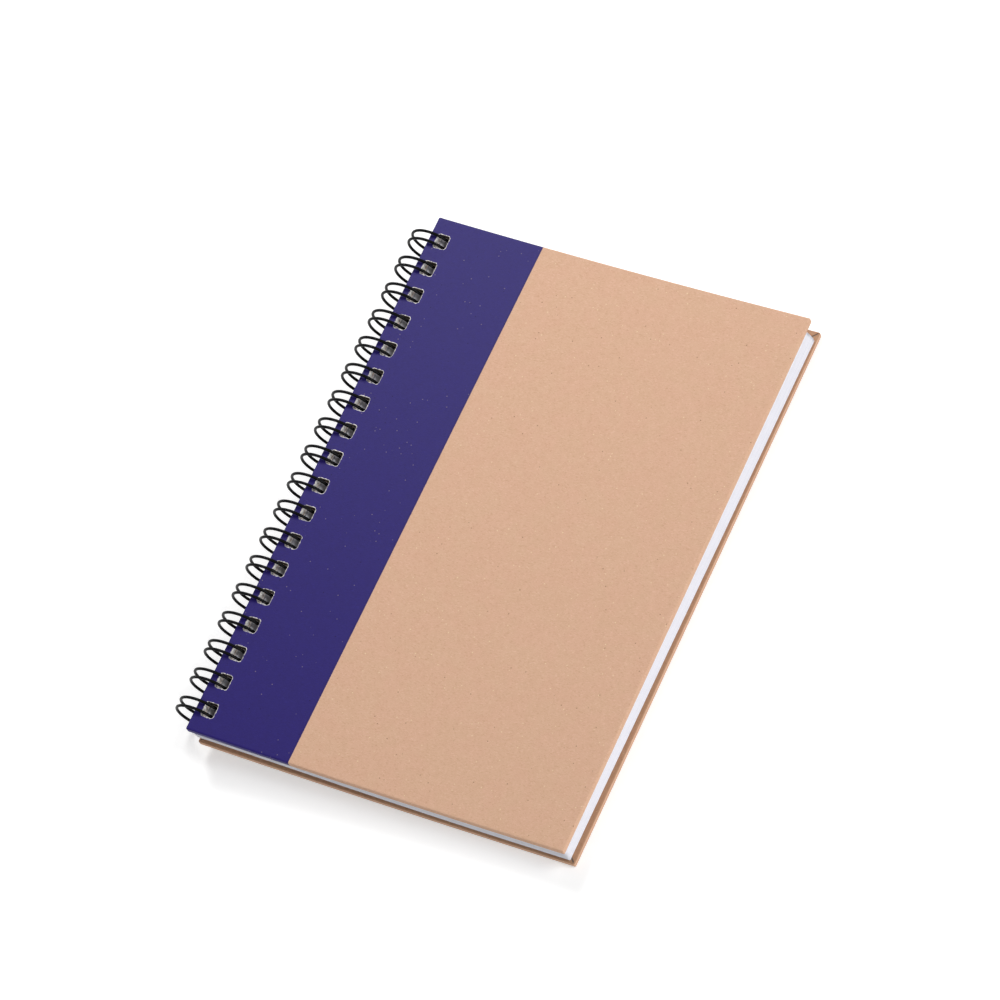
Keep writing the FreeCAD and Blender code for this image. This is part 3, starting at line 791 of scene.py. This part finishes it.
whitePaper = {
    "sheets": (srgb(240, 240, 250), srgb(250, 250, 255)),       # each sheet is a shade between these
    # painted shade: the gap colour darkens the lines between two sheets, for the shade in the grooves there
    "gap": srgb(150, 150, 168), "gapShadeShare": 0.35, "gapShadeWidth": 0.14,
    "mottles": (srgb(190, 190, 200), srgb(255, 255, 255)), "mottleShare": 0.04,
    "flatLeaf": 0.02,       # nearer than this to the first or last sheet's number is a flat face
    "roughness": 0.8, "specular": 0.25, "bump": (0.2, 0.01),
}


def makePagePaper():
    material, tree, shader, place = newMaterial("whitePages")
    leaf = addNode(tree, "ShaderNodeAttribute", {"attribute_name": "leaf"}).outputs["Fac"]
    sheet = addNode(tree, "ShaderNodeTexWhiteNoise", {"noise_dimensions": "1D"},
                    W=calculate(tree, "FLOOR", leaf)).outputs["Value"]
    colour = blendColour(tree, sheet, *whitePaper["sheets"])
    # painted shade: darker lines where two sheets meet, which are the whole numbers of the leaf attribute
    gap = calculate(tree, "FRACT", leaf)
    gap = calculate(tree, "MINIMUM", gap, calculate(tree, "SUBTRACT", 1.0, gap))
    above = calculate(tree, "GREATER_THAN", leaf, whitePaper["flatLeaf"])
    below = calculate(tree, "LESS_THAN", leaf, pages["sheets"] - whitePaper["flatLeaf"])
    line = calculate(tree, "MULTIPLY", fall(tree, gap, 0.0, whitePaper["gapShadeWidth"]),
                     calculate(tree, "MULTIPLY", above, below))
    line = calculate(tree, "MULTIPLY", line, whitePaper["gapShadeShare"])
    colour = blendColour(tree, line, colour, whitePaper["gap"])
    mottle = noise(tree, place, 1.4, 4.0, 0.6)
    mottled = blendColour(tree, mottle, *whitePaper["mottles"])
    colour = blendColour(tree, whitePaper["mottleShare"], colour, mottled)
    finishShader(tree, shader, colour, mottle, whitePaper)
    return material


lacquer = {
    "tones": (srgb(7, 7, 9), srgb(18, 18, 21)), "roughness": 0.3, "scuffed": 0.12,
    "specular": 0.07, "bump": (0.25, 0.02),
}


def makeLacquer():
    material, tree, shader, place = newMaterial("blackLacquer")
    scuff = ramp(tree, noise(tree, place, 0.5, 5.0, 0.7), 0.6, 0.75)
    tone = blendColour(tree, scuff, *lacquer["tones"])
    finishShader(tree, shader, tone, noise(tree, place, 1.1, 3.0, 0.55), lacquer)
    roughness = calculate(tree, "MULTIPLY_ADD", scuff, lacquer["scuffed"], lacquer["roughness"])
    tree.links.new(roughness, shader.inputs["Roughness"])
    return material


frontKraft = makeKraft("frontKraftWithBand", cover["frontOuter"], cover["frontEdge"], -1,
                       binding["dishFront"], True)
backKraft = makeKraft("backKraft", cover["backOuter"], cover["backEdge"], 1, binding["dishBack"], False)
giveMaterial(frontKraft, frontWrap)
giveMaterial(backKraft, backWrap)
giveMaterial(makeLining(), frontLining, backLining)
giveMaterial(makeBoard("frontGreyBoard", cover["frontEdge"]), frontBoard)
giveMaterial(makeBoard("backGreyBoard", cover["backEdge"]), backBoard)
giveMaterial(makePagePaper(), pageBlock)
giveMaterial(makeLacquer(), wireLoops)
print("materials made")

# Camera: its place and directions are given in the loops' frame, in millimetres
shot = {
    "place": (603.48, -439.22, 1140.59), "direction": (-0.41141, 0.33282, -0.84851),
    "up": (-0.25929, 0.84975, 0.45902), "lens": 187.2, "sensor": 36, "farthest": 50,
}


def turnOnly(vector):
    x, y, z = vector
    return Vector((x * cosTilt + z * sinTilt, y, z * cosTilt - x * sinTilt))


cameraData = bpy.data.cameras.new("shotCamera")
cameraData.lens = shot["lens"]
cameraData.sensor_width = shot["sensor"]
cameraData.clip_end = shot["farthest"]
camera = bpy.data.objects.new("shotCamera", cameraData)
bpy.context.scene.collection.objects.link(camera)
bpy.context.scene.camera = camera
backward = -turnOnly(shot["direction"]).normalized()
rightward = turnOnly(shot["up"]).cross(backward).normalized()
upward = backward.cross(rightward)
camera.matrix_world = Matrix((
    (rightward.x, upward.x, backward.x, 0), (rightward.y, upward.y, backward.y, 0),
    (rightward.z, upward.z, backward.z, 0), (0, 0, 0, 1)))
camera.location = Vector(toFrame(np.array([shot["place"]]))[0])

# Studio: pale floor that shows white and keeps the soft shadow, and three soft lamps
studio = {
    "lamps": (
        # name, place in metres, size, power
        ("keyLamp", (-0.38, 0.46, 0.62), 0.32, 4.4),
        ("rightLamp", (0.62, 0.20, 0.74), 0.4, 3.8),
        ("lowLamp", (1.1, -0.72, 0.3), 0.6, 7.2),
    ),
    "world": 0.16, "floorSize": 6.0, "floorShade": 0.8, "floorGlow": 0.46, "floorRoughness": 0.9,
}
white = (1, 1, 1, 1)


def shownShare(tree):
    # 1 for what the camera, a reflection or clear glass shows, and 0 for light on its way to a surface
    rays = addNode(tree, "ShaderNodeLightPath").outputs
    bent = calculate(tree, "ADD", rays["Is Glossy Ray"], rays["Is Transmission Ray"])
    return calculate(tree, "ADD", rays["Is Camera Ray"], bent, clamp=True)


corner = studio["floorSize"] / 2
floorCorners = [(-corner, -corner, 0), (corner, -corner, 0), (corner, corner, 0), (-corner, corner, 0)]
floorMesh = bpy.data.meshes.new("floor")
floorMesh.from_pydata(floorCorners, [], [(0, 1, 2, 3)])
floor = bpy.data.objects.new("floor", floorMesh)
bpy.context.scene.collection.objects.link(floor)
floorMaterial = bpy.data.materials.new("paleFloor")
floorMaterial.use_nodes = True
floorTree = floorMaterial.node_tree
floorShader = floorTree.nodes["Principled BSDF"]
floorShader.inputs["Base Color"].default_value = (studio["floorShade"],) * 3 + (1,)
floorShader.inputs["Roughness"].default_value = studio["floorRoughness"]
floorShader.inputs["Emission Color"].default_value = white
glow = calculate(floorTree, "MULTIPLY", shownShare(floorTree), studio["floorGlow"])
floorTree.links.new(glow, floorShader.inputs["Emission Strength"])
floorMesh.materials.append(floorMaterial)

for name, place, size, power in studio["lamps"]:
    lampData = bpy.data.lights.new(name, "AREA")
    lampData.shape = "DISK"
    lampData.size = size
    lampData.energy = power
    lamp = bpy.data.objects.new(name, lampData)
    bpy.context.scene.collection.objects.link(lamp)
    lamp.location = place
    lamp.rotation_euler = (-Vector(place)).to_track_quat("-Z", "Y").to_euler()

world = bpy.data.worlds.new("paleRoom")
bpy.context.scene.world = world
world.use_nodes = True
worldTree = world.node_tree
worldShader = worldTree.nodes["Background"]
worldShader.inputs["Color"].default_value = white
glow = calculate(worldTree, "MULTIPLY_ADD", shownShare(worldTree), 1 - studio["world"], studio["world"])
worldTree.links.new(glow, worldShader.inputs["Strength"])
bpy.context.scene.view_settings.view_transform = "Standard"
print("studio made")
